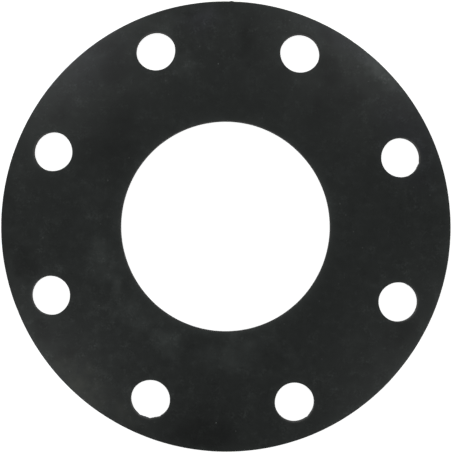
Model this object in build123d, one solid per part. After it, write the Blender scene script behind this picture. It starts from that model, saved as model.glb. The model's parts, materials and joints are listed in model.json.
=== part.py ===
from build123d import *
import os

# Full-face rubber flange gasket, cut in one piece from flat sheet.
# Millimetres. +Z is up, out of the face that the cutting die entered.
# Origin: on the bore axis, at the underside of the sheet.

# ---------------------------------------------------------------- dimensions
OUTER_D = 227.2          # outside diameter, just under the 9 in flange it covers
BORE_D = 106.2           # clear bore, 4 in pipe
THICKNESS = 3.2          # 1/8 in sheet

BOLT_CIRCLE_D = 190.5    # 7.5 in bolt circle
BOLT_HOLES = 8
BOLT_HOLE_D = 19.6       # 3/4 in nominal holes, opened a little by the punch
FIRST_HOLE_DEG = 22.5    # the holes straddle both centre lines

ENTRY_EDGE_R = 0.25      # edge drawn down where the die enters the sheet
EXIT_EDGE_R = 0.08       # crisper edge where it leaves

assert BORE_D / 2 < BOLT_CIRCLE_D / 2 - BOLT_HOLE_D / 2
assert BOLT_CIRCLE_D / 2 + BOLT_HOLE_D / 2 < OUTER_D / 2


def make_gasket():
    """The whole gasket: a flat ring with its bolt holes, as one solid."""
    with BuildPart() as gasket:
        # the blank: outline, bore and bolt holes are cut in one stroke
        with BuildSketch(Plane.XY):
            Circle(OUTER_D / 2)
            Circle(BORE_D / 2, mode=Mode.SUBTRACT)
            with PolarLocations(
                BOLT_CIRCLE_D / 2, BOLT_HOLES, start_angle=FIRST_HOLE_DEG
            ):
                Circle(BOLT_HOLE_D / 2, mode=Mode.SUBTRACT)
        extrude(amount=THICKNESS)

        # every cut edge is rounded on the entry face and crisper on the other
        rims = gasket.edges().filter_by(GeomType.CIRCLE).group_by(Axis.Z)
        entry_rims, exit_rims = rims[-1], rims[0]
        assert len(entry_rims) == len(exit_rims) == BOLT_HOLES + 2
        fillet(entry_rims, ENTRY_EDGE_R)
        fillet(exit_rims, EXIT_EDGE_R)
    return gasket.part


os.makedirs("parts", exist_ok=True)
gasket = make_gasket()
gasket.label = "gasket"
export_step(gasket, "parts/gasket.step")

box = gasket.bounding_box()
print(
    "gasket: solids", len(gasket.solids()), "valid", gasket.is_valid,
    "volume mm3", round(gasket.volume, 1),
    "x", round(box.min.X, 3), round(box.max.X, 3),
    "y", round(box.min.Y, 3), round(box.max.Y, 3),
    "z", round(box.min.Z, 3), round(box.max.Z, 3),
)
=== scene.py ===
import json
import math

import bpy
import numpy as np
from mathutils import Matrix, Vector, noise


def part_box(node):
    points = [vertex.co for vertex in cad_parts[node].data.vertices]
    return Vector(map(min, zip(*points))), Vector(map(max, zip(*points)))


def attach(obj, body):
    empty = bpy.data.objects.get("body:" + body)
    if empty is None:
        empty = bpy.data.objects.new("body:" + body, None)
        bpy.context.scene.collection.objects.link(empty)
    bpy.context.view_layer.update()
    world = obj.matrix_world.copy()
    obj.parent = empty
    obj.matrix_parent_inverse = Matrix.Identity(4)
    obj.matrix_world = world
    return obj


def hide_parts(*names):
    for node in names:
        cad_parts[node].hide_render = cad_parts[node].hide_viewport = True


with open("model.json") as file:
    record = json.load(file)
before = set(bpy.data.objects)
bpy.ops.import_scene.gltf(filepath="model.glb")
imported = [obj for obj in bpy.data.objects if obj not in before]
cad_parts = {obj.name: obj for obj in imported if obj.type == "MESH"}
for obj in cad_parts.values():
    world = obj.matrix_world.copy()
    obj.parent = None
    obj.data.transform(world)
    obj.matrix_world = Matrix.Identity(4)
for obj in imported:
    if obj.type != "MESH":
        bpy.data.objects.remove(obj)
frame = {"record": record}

scene = bpy.context.scene
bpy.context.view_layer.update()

# ------------------------------------------------------------------ the frame
MOUNTS = {m["name"]: m for m in frame["record"]["mounts"]}
PATTERN = MOUNTS["bolt_holes"]["dims"]
LO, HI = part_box("gasket")
T = HI.z - LO.z                                   # sheet thickness
Z0 = LO.z
RIM_R = (HI.x - LO.x + HI.y - LO.y) / 4 + 1.5e-5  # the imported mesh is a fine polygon
BORE_R = MOUNTS["bore"]["dims"]["r_mm"] / 1000
CIRCLE_R = PATTERN["pcd_mm"] / 2000
HOLES = PATTERN["count"]
HOLE_R = PATTERN["hole_r_mm"] / 1000
STEP = 2 * math.pi / HOLES
FIRST = STEP / 2                                  # the holes straddle the axes
MM = 0.001


# --------------------------------------------------------------- the cut lines
# A punched rubber sheet is never quite round: it is stretched a little on the
# bed, and each punch lands a little off. Angles are about the gasket's centre.
# Waves round an outline: (waves a turn, cosine, sine), in mm.
RIM_WAVES = (
    (1, 0.236, -0.009), (2, -0.115, -0.141), (3, 0.006, -0.035), (4, 0.050, 0.018),
    (5, 0.006, 0.018), (6, 0.008, 0.015), (7, -0.009, -0.010), (9, -0.008, -0.012),
    (17, 0.006, -0.005), (31, 0.004, 0.006),
)
RIM_OFF = -0.114
BORE_WAVES = (
    (1, -0.043, 0.109), (2, -0.124, -0.045), (3, 0.012, -0.025), (4, 0.016, 0.004),
    (5, 0.014, 0.000), (6, 0.005, 0.006), (7, -0.008, -0.001), (19, 0.005, -0.006),
)
BORE_OFF = 0.052
# tags that the knife left standing on the rim: direction and half width in
# degrees, then how far each stands out in mm (negative is a nick)
BURRS = ((89.3, 0.55, 0.30), (88.2, 0.5, -0.06), (203.0, 0.7, -0.07), (317.5, 0.6, 0.06))


def waves(table, a):
    return sum(c * math.cos(n * a) + s * math.sin(n * a) for n, c, s in table)


def rim_wave(a):
    """How far the rim stands out of its circle, in metres."""
    w = RIM_OFF + waves(RIM_WAVES, a)
    for at, half, out in BURRS:
        w += out * bump1(turn(math.degrees(a), at), half)
    return MM * w


def bore_wave(a):
    """How far the bore is cut outside its circle, in metres."""
    return MM * (BORE_OFF + waves(BORE_WAVES, a))


# each punched hole, in mm: x and y off its true place, radius off, then the
# cosine and sine of its oval and of its three-lobed wave
PUNCH = (
    (-0.023, -0.053, 0.142, -0.068, 0.010, -0.026, -0.053),
    (-0.250, 0.239, 0.096, 0.057, -0.091, 0.013, 0.000),
    (-0.251, 0.105, 0.068, 0.028, 0.105, -0.073, 0.005),
    (0.208, 0.006, 0.094, -0.049, 0.004, 0.010, -0.089),
    (0.276, 0.194, 0.092, -0.038, 0.018, 0.018, 0.035),
    (-0.003, 0.081, 0.084, 0.052, -0.048, -0.043, 0.004),
    (-0.051, -0.209, 0.187, -0.035, 0.010, 0.030, -0.011),
    (0.009, -0.214, 0.204, 0.015, -0.016, -0.034, 0.045),
)
# snags where a punch tore instead of cutting: hole, direction seen from the
# hole's centre, half width in degrees, depth in mm (positive bites into the
# rubber, negative leaves a tag standing in the hole)
SNAGS = (
    (5, 237.0, 7.0, 0.28),
    (5, 254.0, 4.0, -0.22),
    (5, 268.0, 6.0, 0.30),
    (5, 283.0, 4.0, -0.20),
    (5, 297.0, 6.0, 0.22),
    (0, 347.0, 6.0, 0.26),
    (0, 334.0, 4.0, -0.15),
    (6, 312.0, 6.0, 0.22),
    (6, 326.0, 4.0, -0.14),
    (7, 60.0, 5.0, -0.10),
    (2, 205.0, 5.0, -0.10),
)


def bump1(x, half):
    x = abs(x) / half
    return 0.0 if x >= 1 else (1 - x * x) ** 2


def turn(a, b):
    """The signed angle from b to a, in degrees."""
    return (a - b + 180.0) % 360.0 - 180.0


def hole_wave(k, a):
    deg = math.degrees(a)
    c2, s2, c3, s3 = PUNCH[k % len(PUNCH)][3:]
    w = waves(((2, c2, s2), (3, c3, s3)), a) + 0.008 * math.cos(7 * a + 0.8 * k)
    for hole, at, half, depth in SNAGS:
        if hole == k:
            w += depth * bump1(turn(deg, at), half)
    return MM * w


# ------------------------------------------------------------------- the mesh
# One cut edge seen in section, as (distance into the rubber, height) pairs in
# mm, from the upper face, round the drawn-down entry edge, down the slightly
# hollow wall and round the crisp exit edge to the under face.
def section():
    t = T / MM
    return [
        (1.10, t), (0.72, t - 0.0008), (0.46, t - 0.0035), (0.29, t - 0.010),
        (0.180, t - 0.026), (0.105, t - 0.053), (0.050, t - 0.096),
        (0.014, t - 0.160), (0.0, t - 0.250), (0.0, t - 0.430),
        (0.025, t - 0.90), (0.050, t - 1.55), (0.045, 0.95), (0.018, 0.42),
        (0.0, 0.17), (0.020, 0.060), (0.085, 0.010), (0.42, 0.0), (1.10, 0.0),
    ]


SECTION = section()
ROWS = len(SECTION)
IN = SECTION[0][0]                          # how far in the flat of the face begins
CUT_ROWS = (4, 16)                          # the rows that the cut edge runs between


def cut_at(row):
    """0 on the sheet's faces, 1 on its cut edge, and between them on the corners."""
    a, b = CUT_ROWS
    return 0.5 if row in (a, b) else 1.0 if a < row < b else 0.2 if row in (a - 1, b + 1) else 0.0


N_RIM, N_BORE, N_SIDE = 72, 40, 24          # points round one sector's outline
N = N_RIM + N_BORE + 2 * N_SIDE
RINGS_TOP, RINGS_LOW = 28, 8

verts, faces, slots, cuts = [], [], [], []  # slots: 0 is the sheet's face, 1 its cut edge
index = {}


def swell(x, y):
    """How much thicker than nominal the sheet is at a place, in metres."""
    x, y = x / MM, y / MM
    w = 0.034 * noise.noise(Vector((x / 47 + 3.1, y / 47 - 1.4, 0.3)))
    w += 0.016 * noise.noise(Vector((x / 19 - 7.7, y / 19 + 2.9, 1.7)))
    w += 0.006 * noise.noise(Vector((x / 8 + 5.2, y / 8 + 9.1, 4.4)))
    return MM * w


def vert(key, x, y, z, cut=0.0):
    """The vertex of that name, made the first time it is asked for."""
    if key not in index:
        index[key] = len(verts)
        verts.append((x, y, z + swell(x, y) * (z - Z0) / T))
        cuts.append(cut)
    return index[key]


def rim_point(a, inset):
    r = RIM_R + rim_wave(a) * max(0.0, 1 - inset / 20) - inset * MM
    return r * math.cos(a), r * math.sin(a)


def bore_point(a, inset):
    r = BORE_R + bore_wave(a) * max(0.0, 1 - inset / 20) + inset * MM
    return r * math.cos(a), r * math.sin(a)


def hole_centre(k):
    a = FIRST + STEP * k
    dx, dy, dr = PUNCH[k % len(PUNCH)][:3]
    return (
        CIRCLE_R * math.cos(a) + dx * MM,
        CIRCLE_R * math.sin(a) + dy * MM,
        HOLE_R + dr * MM,
    )


def hole_point(k, a, inset):
    cx, cy, r = hole_centre(k)
    r += hole_wave(k, a) * max(0.0, 1 - inset / IN) + inset * MM
    return cx + r * math.cos(a), cy + r * math.sin(a)


edge_rows = []                              # (kind, key of a vertex at a row, count)

for k in range(HOLES):
    mid = FIRST + STEP * k
    cx, cy, _ = hole_centre(k)
    # the sector's outline, counterclockwise from the rim's low-angle corner
    outline = []
    for i in range(N_RIM):
        a = mid - STEP / 2 + STEP * i / N_RIM
        outline.append((("rim", (k * N_RIM + i) % (HOLES * N_RIM)), rim_point(a, IN)))
    for side, a, s in ((1, mid + STEP / 2, (k + 1) % HOLES), (0, mid - STEP / 2, k)):
        ends = rim_point(a, IN), bore_point(a, IN)
        line = []
        for i in range(N_SIDE):
            f = i / N_SIDE
            line.append((("side", s, i), tuple(
                p + (q - p) * f for p, q in zip(*ends))))
        if side == 1:
            # the far side runs inwards from the rim's high-angle corner
            line[0] = (("rim", ((k + 1) * N_RIM) % (HOLES * N_RIM)), ends[0])
            outline += line
            for j in range(N_BORE):
                b = mid + STEP / 2 - STEP * j / N_BORE
                outline.append(
                    (("bore", ((k + 1) * N_BORE - j) % (HOLES * N_BORE)), bore_point(b, IN))
                )
        else:
            corner = (("bore", (k * N_BORE) % (HOLES * N_BORE)), ends[1])
            outline += [corner] + line[:0:-1]
    assert len(outline) == N, (len(outline), N)
    # where each outline point's spoke meets the hole: partly by direction,
    # partly evenly, so that the hole's edge is finely and evenly divided
    way = []
    last = None
    for key, (x, y) in outline:
        a = math.atan2(y - cy, x - cx)
        if last is not None:
            while a < last:
                a += 2 * math.pi
        way.append(a)
        last = a
    even = [way[0] + 2 * math.pi * i / N for i in range(N)]
    off = sum(w - e for w, e in zip(way, even)) / N
    spoke = [0.45 * w + 0.55 * (e + off) for w, e in zip(way, even)]

    for top, rings in ((True, RINGS_TOP), (False, RINGS_LOW)):
        z = T + Z0 if top else Z0
        layer = "t" if top else "b"
        grid = []
        for r in range(rings + 1):
            f = r / rings
            f = 0.55 * f ** 1.55 + 0.45 * f
            row = []
            for i, (key, (bx, by)) in enumerate(outline):
                hx, hy = hole_point(k, spoke[i], IN)
                if r == rings:
                    name = (layer,) + key
                else:
                    name = (layer, "hole", k, r, i)
                row.append(vert(name, hx + (bx - hx) * f, hy + (by - hy) * f, z))
            grid.append(row)
        for r in range(rings):
            for i in range(N):
                j = (i + 1) % N
                q = (grid[r][i], grid[r + 1][i], grid[r + 1][j], grid[r][j])
                faces.append(q if top else q[::-1])
                slots.append(0)
    edge_rows.append(("hole", k, spoke))

# the cut edges, each a strip of rows from the upper face to the under face
for kind, k, spoke in edge_rows:
    grid = []
    for r, (inset, z) in enumerate(SECTION):
        row = []
        for i in range(N):
            if r == 0:
                row.append(index[("t", "hole", k, 0, i)])
            elif r == ROWS - 1:
                row.append(index[("b", "hole", k, 0, i)])
            else:
                x, y = hole_point(k, spoke[i], inset)
                row.append(vert(("cut", "hole", k, r, i), x, y, Z0 + z * MM, cut_at(r)))
        grid.append(row)
    for r in range(ROWS - 1):
        for i in range(N):
            j = (i + 1) % N
            faces.append((grid[r][i], grid[r][j], grid[r + 1][j], grid[r + 1][i]))
            slots.append(int(CUT_ROWS[0] <= r < CUT_ROWS[1]))

for kind, count, point in (
    ("rim", HOLES * N_RIM, rim_point),
    ("bore", HOLES * N_BORE, bore_point),
):
    grid = []
    for r, (inset, z) in enumerate(SECTION):
        row = []
        for i in range(count):
            a = 2 * math.pi * i / count
            if r == 0:
                row.append(index[("t", kind, i)])
            elif r == ROWS - 1:
                row.append(index[("b", kind, i)])
            else:
                x, y = point(a, inset)
                row.append(vert(("cut", kind, r, i), x, y, Z0 + z * MM, cut_at(r)))
        grid.append(row)
    for r in range(ROWS - 1):
        for i in range(count):
            j = (i + 1) % count
            q = (grid[r][i], grid[r + 1][i], grid[r + 1][j], grid[r][j])
            faces.append(q if kind == "rim" else q[::-1])
            slots.append(int(CUT_ROWS[0] <= r < CUT_ROWS[1]))

mesh = bpy.data.meshes.new("gasket_sheet")
mesh.from_pydata(verts, [], faces)
mesh.validate(verbose=False)
mesh.update()
sheet = bpy.data.objects.new("gasket_sheet", mesh)
scene.collection.objects.link(sheet)
mesh.polygons.foreach_set("use_smooth", [True] * len(mesh.polygons))
mesh.polygons.foreach_set("material_index", slots)
edge_mark = mesh.attributes.new("cut", "FLOAT", "POINT")
edge_mark.data.foreach_set("value", cuts)
print("SHEET", len(mesh.vertices), "vertices", sum(len(p.vertices) - 2 for p in mesh.polygons), "triangles")

# --------------------------------------------------------------- the materials
# Smooth black sheet rubber: a satin calendered face, clouded by handling and by
# a faint bloom, with dust on it, and with painted highlight, painted shade,
# painted glare and a painted bluish sheen near its edges; and a matt, darker cut edge.
class Nodes:
    """A material's nodes, made by short calls. Lengths are in mm."""

    def __init__(self, name):
        self.mat = bpy.data.materials.new(name)
        self.mat.use_nodes = True
        self.tree = self.mat.node_tree
        self.shader = self.tree.nodes["Principled BSDF"]
        where = self.new("ShaderNodeTexCoord").outputs["Object"]
        self.place = self.vec("SCALE", where, scale=1 / MM)
        xyz = self.new("ShaderNodeSeparateXYZ")
        self.put(xyz.inputs[0], self.place)
        self.x, self.y, self.z = xyz.outputs
        flat = self.new("ShaderNodeCombineXYZ")
        self.put(flat.inputs[0], self.x)
        self.put(flat.inputs[1], self.y)
        self.flat = flat.outputs[0]
        mark = self.new("ShaderNodeAttribute")
        mark.attribute_name = "cut"
        self.cut = mark.outputs["Fac"]
        self.face = self.sub(1.0, self.cut)

    def new(self, kind):
        return self.tree.nodes.new(kind)

    def put(self, socket, value):
        if isinstance(value, bpy.types.NodeSocket):
            self.tree.links.new(value, socket)
        else:
            socket.default_value = value

    def num(self, op, a, b=0.0, c=None, clamp=False):
        n = self.new("ShaderNodeMath")
        n.operation, n.use_clamp = op, clamp
        for socket, v in zip(n.inputs, (a, b, c)):
            if v is not None:
                self.put(socket, v)
        return n.outputs[0]

    def add(self, a, b):
        return self.num("ADD", a, b)

    def sub(self, a, b):
        return self.num("SUBTRACT", a, b)

    def mul(self, a, b):
        return self.num("MULTIPLY", a, b)

    def mad(self, a, b, c):
        return self.num("MULTIPLY_ADD", a, b, c)

    def vec(self, op, a, b=None, scale=None):
        n = self.new("ShaderNodeVectorMath")
        n.operation = op
        self.put(n.inputs[0], a)
        if b is not None:
            self.put(n.inputs[1], b)
        if scale is not None:
            self.put(n.inputs["Scale"], scale)
        return n.outputs[1] if op in ("LENGTH", "DISTANCE", "DOT_PRODUCT") else n.outputs[0]

    def span(self, value, low, high, to_low=0.0, to_high=1.0):
        """An eased step from to_low at low to to_high at high."""
        n = self.new("ShaderNodeMapRange")
        n.interpolation_type = "SMOOTHSTEP"
        n.clamp = False                           # the step is clamped as it is
        if low > high:
            low, high, to_low, to_high = high, low, to_high, to_low
        for socket, v in zip(n.inputs, (value, low, high, to_low, to_high)):
            self.put(socket, v)
        return n.outputs[0]

    def mix(self, factor, a, b):
        n = self.new("ShaderNodeMix")
        n.data_type = "RGBA"
        self.put(n.inputs[0], factor)
        self.put(n.inputs[6], a)
        self.put(n.inputs[7], b)
        return n.outputs[2]

    def mapped(self, where, kind, at=(0, 0, 0), turn=0.0, size=(1, 1, 1)):
        n = self.new("ShaderNodeMapping")
        n.vector_type = kind
        self.put(n.inputs["Vector"], where)
        n.inputs["Location"].default_value = at
        n.inputs["Rotation"].default_value = (0, 0, math.radians(turn))
        n.inputs["Scale"].default_value = size
        return n.outputs[0]

    def noise(self, size, detail=2.0, rough=0.55, stretch=(1, 1, 1), seed=0.0, turn=0.0, where=None):
        """Cloudy noise with features of about that many mm, about 0; and its colours."""
        v = self.mapped(
            where or self.place, "POINT", (seed * 3.7, seed * 9.1, seed * 5.3), turn,
            tuple(1 / (size * k) for k in stretch),
        )
        n = self.new("ShaderNodeTexNoise")
        self.put(n.inputs["Vector"], v)
        n.inputs["Scale"].default_value = 1.0
        n.inputs["Detail"].default_value = detail
        n.inputs["Roughness"].default_value = rough
        return self.mad(n.outputs[0], 2.0, -1.0), n.outputs[1]

    def cells(self, size, seed=0.0, where=None):
        """Random cells of that many mm: the distance from each one's middle, in mm, and a random number for it."""
        v = self.mapped(where or self.place, "POINT", (seed, seed * 2.3, seed * 4.9), 0.0, (1 / size,) * 3)
        n = self.new("ShaderNodeTexVoronoi")
        self.put(n.inputs["Vector"], v)
        n.inputs["Scale"].default_value = 1.0
        rgb = self.new("ShaderNodeSeparateColor")
        self.put(rgb.inputs[0], n.outputs["Color"])
        return self.mul(n.outputs["Distance"], size), rgb.outputs[0], rgb.outputs[1]

    def blob(self, where, x, y, rx, ry, lean, strength):
        """A soft oval spot: where, half widths, lean in degrees and strength at its middle."""
        c, s = math.cos(math.radians(lean)), math.sin(math.radians(lean))
        d = self.vec("SUBTRACT", where, (x, y, 0))
        a = self.vec("DOT_PRODUCT", d, (c / rx, s / rx, 0))
        b = self.vec("DOT_PRODUCT", d, (-s / ry, c / ry, 0))
        return self.span(self.num("SQRT", self.mad(a, a, self.mul(b, b))), 0.0, 1.0, strength, 0.0)

    def blobs(self, where, table):
        """The sum of a table of soft oval spots."""
        total = None
        for row in table:
            b = self.blob(where, *row)
            total = b if total is None else self.add(total, b)
        return total

    def bump(self, height, strength=1.0):
        n = self.new("ShaderNodeBump")
        n.inputs["Strength"].default_value = strength
        n.inputs["Distance"].default_value = MM
        self.put(n.inputs["Height"], height)
        self.put(self.shader.inputs["Normal"], n.outputs[0])

    def finish(self, colour, rough, specular):
        self.put(self.shader.inputs["Base Color"], colour)
        self.put(self.shader.inputs["Roughness"], rough)
        self.shader.inputs["Specular IOR Level"].default_value = specular
        return self.mat


FACE = (0.0229, 0.0251, 0.0243, 1)
# the next colour is the face tinted by a painted bluish sheen
FACE_SHEEN_BLUE = (0.0235, 0.0242, 0.0279, 1)
CREAM = (0.0545, 0.0557, 0.0470, 1)
EDGE = (0.0410, 0.0418, 0.0410, 1)
ROUGH = 0.285
CLOUDS = dict(broad=0.06, cloud=0.32, fleck=0.60, grain=0.62, lines=0.16)
# where the upper face is painted paler and darker: partly smudges from handling,
# partly a painted highlight (the paler ovals on the rim at the upper right) and
# painted shade (the darker ovals near the rim, where the sheen is weaker):
# x, y, half widths along and across, lean, strength
PALE_SMUDGES_AND_HIGHLIGHTS = (
    (-61, -17, 18, 12, 105, 0.8), (-45, -45, 18, 11, 150, 0.8), (-54, -30, 8, 6, 120, 0.6),
    (-28, -59, 14, 11, 130, 0.8), (1, -66, 21, 13, 0, 0.8), (19, -59, 15, 9, 20, 0.4),
    (-10, 105, 10, 8, 0, 0.6), (-31, 101, 14, 8, 18, 0.6), (-22, 83, 9, 9, 0, 0.6),
    (76, 81, 20, 8, 135, 1.4), (-45, -53, 7, 5, 160, 0.4),
)
DARK_PATCHES_AND_SHADE = (
    (-80, -67, 7, 7, 0, 1.2), (-91, -54, 9, 7, 110, 1.2), (-101, -20, 11, 8, 90, 0.8),
    (-63, 91, 10, 5, 40, 1.2), (-57, 80, 16, 9, 90, 1.0), (-84, 56, 15, 6, 55, 0.6),
    (-57, 44, 33, 22, 55, 0.6), (11, 95, 12, 9, 90, 0.6), (49, 98, 9, 6, 130, 0.8),
    (51, 80, 13, 9, 130, 1.2), (62, 67, 10, 7, 0, 0.8), (49, 62, 17, 12, 70, 0.6),
    (-9, -106, 21, 11, 0, 0.8), (-14, -98, 26, 18, 0, 0.4), (90, -51, 17, 9, 60, 0.6),
    (-42, -103, 9, 5, 155, 0.6),
)
# where the face is given a faint painted bluish sheen, near the rim in the upper half where the highlights lie
COOL_SHEEN_PATCHES = ((-72, 82, 44, 22, 42, 1.0), (58, 97, 36, 13, 150, 1.0), (92, 45, 40, 20, 112, 1.0), (-14, 104, 16, 12, 0, 0.8))
# dust on the upper face: x, y, radius, strength; three plain specks, the rest at random
SPECKS = ((-3, -99, 0.35, 0.8), (-5, 82, 0.35, 0.8), (7, -103, 0.35, 0.4))
_dust = np.random.default_rng(11)
for _ in range(28):
    _r, _a = _dust.uniform(56, 110), _dust.uniform(0, 2 * math.pi)
    SPECKS += ((float(_r * math.cos(_a)), float(_r * math.sin(_a)),
                float(_dust.uniform(0.40, 0.60)), float(_dust.uniform(0.11, 0.24))),)


def face_material():
    m = Nodes("black_rubber_face")
    upper = m.span(m.z, 1.2, 2.0)
    broad, _ = m.noise(26, 2.0, 0.5, seed=1.3)
    cloud, _ = m.noise(9.5, 3.0, 0.55, seed=2.1)
    fleck, _ = m.noise(3.4, 1.8, 0.55, seed=3.7)
    grain, _ = m.noise(1.0, 2.0, 0.6, seed=4.9)
    # faint lines both ways, from the rolls that made the sheet and from wiping
    along, _ = m.noise(1.4, 2.0, 0.5, stretch=(1, 12, 1), seed=5.3, turn=1)
    across, _ = m.noise(1.4, 2.0, 0.5, stretch=(12, 1, 1), seed=6.1, turn=1)
    lines = m.add(along, across)

    # the mottling is stronger toward the rim and at the lower left: partly from handling, partly a painted unevenness
    # of the sheen in the highlights there
    r = m.vec("LENGTH", m.flat)
    handled_and_sheen_mottle = m.blob(m.flat, -74, -62, 62, 40, 128, 0.45)
    # and calm patches lie among busier ones
    calm, _ = m.noise(5.5, 2.0, 0.5, seed=10.3)
    busy = m.span(calm, -0.26, 0.42, 0.10, 1.70)
    fine = m.mul(m.add(m.span(r, 74, 94, 0.84, 1.30), handled_and_sheen_mottle), busy)
    wide = m.mul(m.add(m.span(r, 74, 94, 0.90, 1.08), handled_and_sheen_mottle), m.mad(busy, 0.5, 0.5))
    tone = m.mul(broad, CLOUDS["broad"])
    for field, name, more in (
        (cloud, "cloud", 1.0), (fleck, "fleck", wide), (grain, "grain", fine), (lines, "lines", fine),
    ):
        tone = m.mad(m.mul(field, CLOUDS[name]), more, tone)
    # paler veils on a dark sheet, not dark pits
    tone = m.num("EXPONENT", m.num("MAXIMUM", tone, m.mul(tone, 0.45)))

    # smudges, and the painted highlight, shade and sheen patches, have ragged outlines: the places they are looked up
    # at wander
    def wander(detail, rough, reach):
        _, drift = m.noise(14, detail, rough, seed=7.7)
        return m.vec("ADD", m.flat, m.vec("SCALE", m.vec("SUBTRACT", drift, (0.5, 0.5, 0.5)), scale=reach))

    ragged, loose = wander(3.5, 0.6, 17.0), wander(1.5, 0.5, 13.0)
    puffs, _ = m.noise(7.0, 4.0, 0.62, seed=9.4)
    # pale and dark carry smudges together with painted highlight and painted shade near the rim
    pale, dark = m.blobs(ragged, PALE_SMUDGES_AND_HIGHLIGHTS), m.blobs(loose, DARK_PATCHES_AND_SHADE)
    pale = m.mul(pale, m.mad(puffs, 1.25, 1.12))
    dark = m.mul(dark, m.mad(puffs, 0.6, 1.12))
    tone = m.mul(tone, m.num("DIVIDE", m.mad(pale, upper, 1.0), m.mad(dark, upper, 1.0)))

    # the face is painted paler along every edge, more on some sides than others: a painted glow that stands in for
    # glare from the bright floor round the edges
    way = m.num("ARCTAN2", m.y, m.x)
    fold = m.sub(m.num("WRAP", way, STEP, 0.0), STEP / 2)
    hx = m.mad(r, m.num("COSINE", fold), -CIRCLE_R / MM)
    hy = m.mul(r, m.num("SINE", fold))
    to_hole = m.sub(m.num("SQRT", m.mad(hx, hx, m.mul(hy, hy))), HOLE_R / MM)
    to_bore = m.sub(r, BORE_R / MM)
    to_rim = m.sub(RIM_R / MM, r)
    rim_glare = m.mad(m.num("COSINE", m.sub(way, math.radians(18))), 0.32, 0.36)
    bore_glare = m.mad(m.num("COSINE", m.sub(way, math.radians(290))), 0.22, 0.88)

    def fade(distance, width, strength):
        return m.mul(m.num("EXPONENT", m.mul(distance, -1 / width)), strength)

    # painted glare: paler bands along the bore, the rim and the holes
    edge_glare = m.add(fade(to_bore, 2.1, bore_glare), m.add(fade(to_rim, 2.2, rim_glare), fade(to_hole, 1.6, 0.46)))
    tone = m.add(tone, m.mul(edge_glare, m.mad(cloud, 0.5, 1.0)))

    hue, _ = m.noise(30, 1.5, 0.5, seed=8.2)
    # a painted bluish sheen over the upper face near the rim
    cool_sheen = m.mul(m.blobs(ragged, COOL_SHEEN_PATCHES), m.mul(m.mad(hue, 0.8, 0.8), upper))
    colour = m.mix(m.num("MINIMUM", cool_sheen, 1.0), FACE, FACE_SHEEN_BLUE)
    cream = m.mul(m.num("MAXIMUM", m.blob(ragged, -72, -81, 26, 15, 133, 0.80),
                        m.blob(ragged, -50, -96, 22, 8, 150, 0.35)), upper)
    cream = m.mul(cream, m.span(puffs, -0.5, 0.45))
    colour = m.vec("SCALE", colour, scale=tone)
    colour = m.mix(cream, colour, CREAM)

    # dust: specks in their places, and finer ones scattered everywhere
    far, chance, size = m.cells(5.2, seed=3.3)
    scattered = m.mul(
        m.span(m.sub(far, m.mad(size, 0.14, 0.08)), 0.06, -0.06),
        m.span(chance, 0.55, 1.0, 0.0, 0.30),
    )
    named = None
    for x, y, size, strength in SPECKS:
        b = m.span(m.vec("DISTANCE", m.flat, (x, y, 0)), size * 0.25, size, strength, 0.0)
        named = b if named is None else m.num("MAXIMUM", named, b)
    dust = m.num("MAXIMUM", scattered, m.mul(named, upper))
    dust = m.mul(dust, m.face)
    colour = m.mix(dust, colour, (0.26, 0.268, 0.26, 1))
    colour = m.mix(m.span(m.cut, 0.0, 0.5), colour, EDGE)

    rough = m.mad(cloud, 0.026, m.mad(broad, 0.026, m.mad(fleck, 0.016, ROUGH)))
    rough = m.num("MAXIMUM", rough, 0.276)
    rough = m.mad(dust, 0.5, m.mad(m.cut, 0.8, rough))

    relief = m.mad(fleck, 0.0007, m.mul(grain, 0.0005))
    relief = m.mad(dust, 0.006, m.mul(m.mad(lines, 0.0004, relief), busy))
    m.bump(m.mul(relief, m.face))
    return m.finish(colour, rough, 0.5)


def edge_material():
    m = Nodes("black_rubber_cut_edge")
    drag, _ = m.noise(0.42, 3.0, 0.65, stretch=(1, 1, 7), seed=1.9)
    tear, _ = m.noise(2.4, 3.0, 0.6, stretch=(1, 1, 2.5), seed=2.7)
    pits, _ = m.noise(0.35, 2.0, 0.6, seed=3.1)
    tone = m.mad(drag, 0.35, m.mad(tear, 0.22, m.mad(pits, 0.15, 1.0)))
    # the bore's cut edge is darker than the holes' cut edges
    tone = m.mul(tone, m.span(m.vec("LENGTH", m.flat), 60, 70, 0.66, 1.0))
    colour = m.vec("SCALE", EDGE[:3], scale=tone)
    rough = m.mad(drag, 0.10, m.mad(tear, 0.08, 0.84))
    m.bump(m.mad(drag, 0.035, m.mad(tear, 0.060, m.mul(pits, 0.010))))
    return m.finish(colour, rough, 0.20)


mesh.materials.append(face_material())
mesh.materials.append(edge_material())

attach(sheet, "root")
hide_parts("gasket")

# -------------------------------------------------------------------- the stage
floor_mesh = bpy.data.meshes.new("floor")
ring = [(9 * math.cos(2 * math.pi * i / 96), 9 * math.sin(2 * math.pi * i / 96), Z0 - 2e-5) for i in range(96)]
floor_mesh.from_pydata(ring, [], [tuple(range(96))])
floor = bpy.data.objects.new("floor", floor_mesh)
scene.collection.objects.link(floor)
fmat = bpy.data.materials.new("floor_white")
fmat.use_nodes = True
fb = fmat.node_tree.nodes["Principled BSDF"]
fb.inputs["Base Color"].default_value = (0.86, 0.86, 0.86, 1)
fb.inputs["Roughness"].default_value = 0.9
fb.inputs["Specular IOR Level"].default_value = 0.1
fb.inputs["Emission Color"].default_value = (1, 1, 1, 1)
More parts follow.
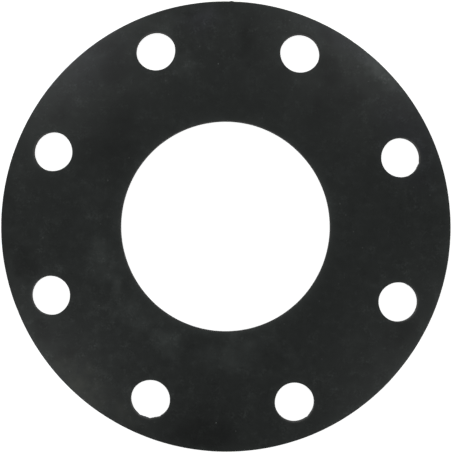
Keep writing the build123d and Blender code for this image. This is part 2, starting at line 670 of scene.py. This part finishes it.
# the softboxes don't reach the far floor, which glows enough to stay as white
fn = fmat.node_tree
where = fn.nodes.new("ShaderNodeNewGeometry")
away = fn.nodes.new("ShaderNodeVectorMath")
away.operation = "LENGTH"
glow = fn.nodes.new("ShaderNodeMapRange")
for name, value in (("From Min", 0.4), ("From Max", 2.5), ("To Min", 0.82), ("To Max", 1.0)):
    glow.inputs[name].default_value = value
fn.links.new(where.outputs["Position"], away.inputs[0])
fn.links.new(away.outputs["Value"], glow.inputs["Value"])
fn.links.new(glow.outputs["Result"], fb.inputs["Emission Strength"])
floor_mesh.materials.append(fmat)

# --------------------------------------------------------------------- the light
ROLL = math.radians(0.965)


def softbox(name, azimuth, tilt, distance, size, power, colour=(0.955, 1.0, 0.978)):
    """A square softbox that faces the gasket. Azimuth is seen in the picture, counterclockwise from its right; tilt is from straight above."""
    a, t = math.radians(azimuth) + ROLL, math.radians(tilt)
    lamp = bpy.data.lights.new(name, "AREA")
    lamp.shape = "SQUARE"
    lamp.size = size
    lamp.energy = power
    lamp.color = colour
    o = bpy.data.objects.new(name, lamp)
    scene.collection.objects.link(o)
    d = Vector((math.sin(t) * math.cos(a), math.sin(t) * math.sin(a), math.cos(t)))
    o.location = Vector((0, 0, HI.z)) + d * distance
    o.rotation_mode = "QUATERNION"
    o.rotation_quaternion = (-d).to_track_quat("-Z", "Y")
    return o


softbox("softbox_far_right", 56, 38, 0.9, 0.30, 0.63)
softbox("softbox_far_left", 132, 44, 0.9, 0.30, 1.74)
softbox("softbox_near_left", 217, 39, 0.9, 0.30, 0.70)
softbox("softbox_near_right", 323, 44, 0.9, 0.30, 1.24)

world = bpy.data.worlds.new("studio")
scene.world = world
world.use_nodes = True
wn = world.node_tree
bg = wn.nodes["Background"]
bg.inputs["Strength"].default_value = 1.0
coord = wn.nodes.new("ShaderNodeTexCoord")
split = wn.nodes.new("ShaderNodeSeparateXYZ")
ramp = wn.nodes.new("ShaderNodeValToRGB")
ramp.color_ramp.elements[0].position = 0.05
ramp.color_ramp.elements[0].color = (0.92, 0.92, 0.92, 1)
ramp.color_ramp.elements[1].position = 0.35
ramp.color_ramp.elements[1].color = (0.10, 0.10, 0.10, 1)
e = ramp.color_ramp.elements.new(0.15)
e.color = (0.5, 0.5, 0.5, 1)
wn.links.new(coord.outputs["Generated"], split.inputs[0])
wn.links.new(split.outputs["Z"], ramp.inputs["Fac"])
# the backdrop behind the floor is plain and pale; the gradient only lights the gasket
seen = wn.nodes.new("ShaderNodeLightPath")
backdrop = wn.nodes.new("ShaderNodeMix")
backdrop.data_type = "RGBA"
backdrop.inputs[7].default_value = (1, 1, 1, 1)
wn.links.new(seen.outputs["Is Camera Ray"], backdrop.inputs[0])
wn.links.new(ramp.outputs["Color"], backdrop.inputs[6])
wn.links.new(backdrop.outputs[2], bg.inputs["Color"])

scene.view_settings.view_transform = "Standard"
scene.view_settings.look = "None"
scene.view_settings.exposure = 0.0
scene.view_settings.gamma = 1.0

# -------------------------------------------------------------------- the camera
# Straight down, from a little below and right of the centre, with the picture's
# centre brought back over the gasket by a small shift.
SCALE = 2 * CIRCLE_R / 377.76                     # metres a pixel on the upper face
HEIGHT = T / 0.0105
FOOT = (10.2, -15.7)                              # in pixels from the gasket's centre
camera = bpy.data.cameras.new("camera")
cam = bpy.data.objects.new("camera", camera)
scene.collection.objects.link(cam)
c, s = math.cos(ROLL), math.sin(ROLL)
cam.location = (
    SCALE * (FOOT[0] * c - FOOT[1] * s),
    SCALE * (FOOT[0] * s + FOOT[1] * c),
    HI.z + HEIGHT,
)
cam.rotation_euler = (0, 0, ROLL)
camera.sensor_width = 36
camera.lens = 36 * HEIGHT / (452 * SCALE)
# the gasket's centre is at (225.40, 226.59) in a frame whose middle is (226, 226)
camera.shift_x = -(225.40 + FOOT[0] - 226) / 452
camera.shift_y = (226.59 - FOOT[1] - 226) / 452
camera.clip_start, camera.clip_end = 0.01, 60
scene.camera = cam
